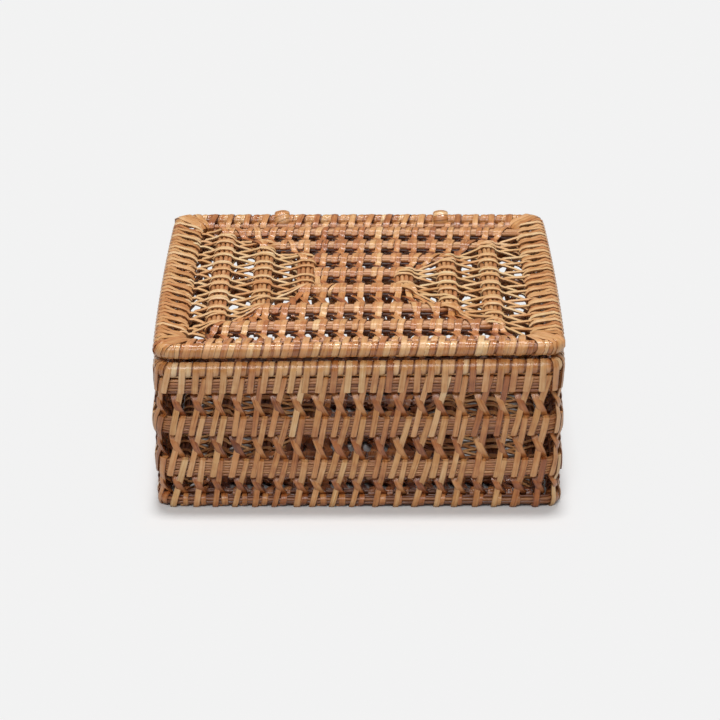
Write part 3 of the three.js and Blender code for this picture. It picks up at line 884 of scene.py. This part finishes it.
# Settling: the cane pulls as it dries. The sides bow out, the left one most, the lower bands sag, the
# front corners of rim and lid end at different heights, and the lid dries domed and a little short.
# The loops press the panel's edge away from its rail, and the table flattens the lowest strips.
half_box, table_gap = 95 * mm, 0.02 * mm
side_bow, lid_back, dome_rise = 0.012, 0.55, 1.3
sag_depth, sag_level, sag_reach = 1.9, 27, 28
tilt_rise, tilt_level, tilt_reach = 1.1, 45, 22
bulge_level, bulge_reach = 42, 26
press_side, press_fade, press_start, press_near, press_far = 6.5, 2, 4, 6.6, 8


def height_share(height, level, reach):
    """Share that is whole at a level and falls to nothing a reach above and below it"""
    return max(0, 1 - abs(height - level) / reach)


for piece in list(bpy.data.objects):
    if piece.type != "MESH" or piece.name in frame["nodes"]:
        continue
    of_lid = piece.name.startswith("lid")
    pressed = piece.name in ("lid_stitches_outer", "lid_coil_rods")
    for vertex in piece.data.vertices:
        x, y, z = vertex.co
        across, deep, height = x / half_box, (y - middle_y * mm) / half_box, z / mm
        sag = height_share(height, sag_level, sag_reach) * sag_depth
        tilt = min(1, max(0, (height - tilt_level) / tilt_reach)) * across * (1 - deep) / 2
        lift = tilt * tilt_rise - sag * max(0, 1 - across * across * deep * deep)
        bulge = max(0, -across) ** 2 * height_share(height, bulge_level, bulge_reach)
        vertex.co.x = x * (1 + side_bow * (1 - deep * deep)) - bulge * mm
        if of_lid:
            vertex.co.y = y + lid_back * mm * (1 - deep)
            lift += dome_rise * max(0, 1 - across * across) * max(0, 1 - deep * deep)
        vertex.co.z = z + lift * mm
        if pressed:
            aside = min(abs(x / mm - place) for place in hinge_places)
            away = Vector((0, vertex.co.y / mm - middle_y - rail_half, vertex.co.z / mm - lid_centre))
            if aside < press_side and away.length < press_far:
                share = (away.length - press_start) / (press_far - press_start)
                push = between(press_near, press_far, share) - away.length
                vertex.co += away.normalized() * push * min(1, (press_side - aside) / press_fade) * mm
        vertex.co.z = max(vertex.co.z, table_gap)

# Table: a pale matt sheet that the box stands on and that takes its shadow. Beside the box its white
# is lifted, as where a studio table is lit from below, and it throws less light back than it shows.
bpy.ops.object.select_all(action="DESELECT")
bpy.ops.mesh.primitive_plane_add(size=8)
table = bpy.context.object
table.name = "table"
table_finish = bpy.data.materials.new("pale_table")
table_finish.use_nodes = True
tree = table_finish.node_tree
matt = tree.nodes["Principled BSDF"]
matt.inputs["Base Color"].default_value = (0.42, 0.42, 0.42, 1)
matt.inputs["Roughness"].default_value = 0.9
matt.inputs["Specular IOR Level"].default_value = 0.1
white = add_node(tree, "ShaderNodeBsdfDiffuse", {"Color": (0.84, 0.84, 0.84, 1)}).outputs[0]
lit = add_node(tree, "ShaderNodeEmission", {"Color": (0.887, 0.887, 0.887, 1)}).outputs[0]
place = add_node(tree, "ShaderNodeTexCoord", {}).outputs["Object"]
apart = add_node(tree, "ShaderNodeSeparateXYZ", {0: place}).outputs
deep = value_of(tree, "SUBTRACT", value_of(tree, "ABSOLUTE", apart["Y"]), 0.02)
farther = value_of(tree, "MAXIMUM", value_of(tree, "ABSOLUTE", apart["X"]), deep)
zone = {"Value": farther, "From Min": 0.093, "From Max": 0.108, "To Min": 0, "To Max": 0.9}
lifted = add_node(tree, "ShaderNodeMapRange", zone).outputs["Result"]
seen = add_node(tree, "ShaderNodeMixShader", {0: lifted, 1: white, 2: lit}).outputs[0]
rays = add_node(tree, "ShaderNodeLightPath", {}).outputs
by_eye = value_of(tree, "MAXIMUM", rays["Is Camera Ray"], rays["Is Glossy Ray"])
either = add_node(tree, "ShaderNodeMixShader", {0: by_eye, 1: matt.outputs[0], 2: seen}).outputs[0]
tree.links.new(either, tree.nodes["Material Output"].inputs["Surface"])
table.data.materials.append(table_finish)

# Light: a wide soft sky, one lamp overhead and a little behind, and a broad one high in front.
# Each lamp is given by its tilt and turn, its strength and its width.
world = bpy.data.worlds.new("sky")
bpy.context.scene.world = world
world.use_nodes = True
world.node_tree.nodes["Background"].inputs["Color"].default_value = (1, 1, 1, 1)
world.node_tree.nodes["Background"].inputs["Strength"].default_value = 0.26
for tilt, aside, energy, spread in [(-8, -2, 1.68, 9), (38, -8, 1.17, 25)]:
    bpy.ops.object.light_add(type="SUN", rotation=(math.radians(tilt), 0, math.radians(aside)))
    lamp = bpy.context.object
    lamp.data.energy = energy
    lamp.data.angle = math.radians(spread)

# Camera at the photograph's place: square in front of the middle of the box, 1.4 metres from it and
# 22 degrees above it, with a long lens.
bpy.ops.object.camera_add(location=(0.0005, -1.3753, 0.5806), rotation=(math.radians(68.43), 0, 0))
camera = bpy.context.object
camera.data.lens = 149.2
camera.data.sensor_width = 36
bpy.context.scene.camera = camera
bpy.context.scene.view_settings.view_transform = "Standard"
